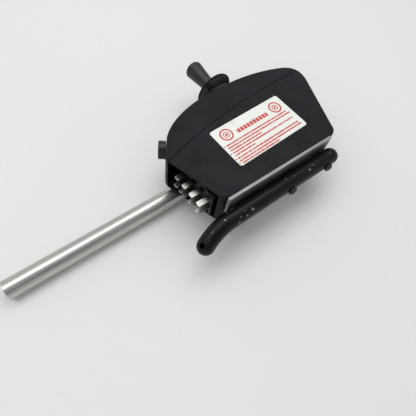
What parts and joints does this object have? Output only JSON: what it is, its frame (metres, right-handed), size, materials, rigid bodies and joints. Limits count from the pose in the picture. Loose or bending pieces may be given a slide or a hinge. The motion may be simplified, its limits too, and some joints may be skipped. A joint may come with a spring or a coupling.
{
  "type": "joystick controller",
  "caption": "Joystick controller of a powered chair: domed housing, sprung joystick with shroud, dial, blade connector, base plate, bent arm and mounting tube.",
  "frame": {"origin": "middle of the part's box, on the surface that it lies on", "axes": "+X along the housing away from the blade connector, +Y from the base plate to the joystick, +Z out of the label side"},
  "size_m": [0.398, 0.2116, 0.0716],
  "materials": {
    "housing_plastic": "fine moulded texture, satin black",
    "control_plastic": "satin black",
    "rubber": "soft black",
    "arm_paint": "semi-gloss black paint with scuffs",
    "aluminium": "drawn, fine lengthwise lines",
    "plate": "rolled sheet, sawn edges",
    "tinned_brass": "tinned brass, dull",
    "fastener_steel": "zinc plated",
    "black_fastener": "black oxide",
    "label_paper": null,
    "board_green": "solder mask",
    "component": "moulded component",
    "ribbon": "flat grey cable",
    "lens": "dark smoked lens"
  },
  "bodies": {
    "housing": {"upper_cover": "housing_plastic", "lower_housing": "housing_plastic", "base_plate": "plate", "tie_screw_1": "fastener_steel", "tie_screw_2": "fastener_steel", "connector_block": "control_plastic", "blade_upper_1": "tinned_brass", "blade_upper_2": "tinned_brass", "blade_upper_3": "tinned_brass", "blade_upper_4": "tinned_brass", "blade_lower_1": "tinned_brass", "blade_lower_2": "tinned_brass", "blade_narrow_1": "tinned_brass", "blade_narrow_2": "tinned_brass", "blade_lower_3": "tinned_brass", "label": "label_paper", "gimbal_frame": "control_plastic", "boot": "rubber", "sensor_board": "board_green", "dial_nut": "fastener_steel", "dial_potentiometer": "component", "button_panel": "control_plastic", "gauge_lens": "lens", "button_board": "board_green", "power_button_switch": "component", "horn_button_switch": "component", "power_board": "board_green", "standoff_1": "fastener_steel", "standoff_2": "fastener_steel", "capacitor_1": "component", "capacitor_2": "component", "relay_1": "component", "relay_2": "component", "heat_spreader": "aluminium", "transistor_1": "component", "transistor_2": "component", "transistor_3": "component", "transistor_4": "component", "logic_board": "board_green", "ribbon_cable": "ribbon", "support_arm": "arm_paint", "arm_screw_1": "black_fastener", "arm_screw_2": "black_fastener", "side_rail": "aluminium", "rail_screw_1": "fastener_steel", "rail_screw_2": "fastener_steel", "clamp_screw_1": "black_fastener", "clamp_screw_2": "black_fastener"},
    "gimbal": {"gimbal_ring": "fastener_steel"},
    "stick": {"joystick_knob": "control_plastic", "shroud": "rubber", "stick_shaft": "fastener_steel", "stick_magnet": "fastener_steel", "spring_cup": "control_plastic", "centring_spring": "fastener_steel"},
    "dial": {"speed_dial": "control_plastic", "dial_shaft": "fastener_steel"},
    "power_key": {"power_button": "control_plastic"},
    "horn_key": {"horn_button": "rubber"},
    "tube": {"mount_tube": "aluminium"}
  },
  "joints": [
    {"name": "stick_left_right", "type": "hinge", "parent": "housing", "child": "gimbal", "pos_m": [0.10243, 0.0283, 0.04725], "axis": [1, 0, 0], "range_deg": [-15, 15], "stiffness_Nm_per_rad": 0.8},
    {"name": "stick_fore_aft", "type": "hinge", "parent": "gimbal", "child": "stick", "pos_m": [0.10243, 0.0283, 0.04725], "axis": [0, 0, 1], "range_deg": [-15, 15], "stiffness_Nm_per_rad": 0.8},
    {"name": "dial_turn", "type": "hinge", "parent": "housing", "child": "dial", "pos_m": [0.00293, 0.0152, 0.04725], "axis": [-0.8141, 0.5807, 0], "range_deg": [-135, 135]},
    {"name": "power_press", "type": "slide", "parent": "housing", "child": "power_key", "axis": [-0.1822, -0.9833, 0], "range_m": [0, 0.0015], "stiffness_N_per_m": 600, "springref_m": -0.001},
    {"name": "horn_press", "type": "slide", "parent": "housing", "child": "horn_key", "axis": [-0.1822, -0.9833, 0], "range_m": [0, 0.0015], "stiffness_N_per_m": 600, "springref_m": -0.001},
    {"name": "tube_slide", "type": "slide", "parent": "housing", "child": "tube", "axis": [-1, 0, 0], "range_m": [0, 0.06]}
  ]
}
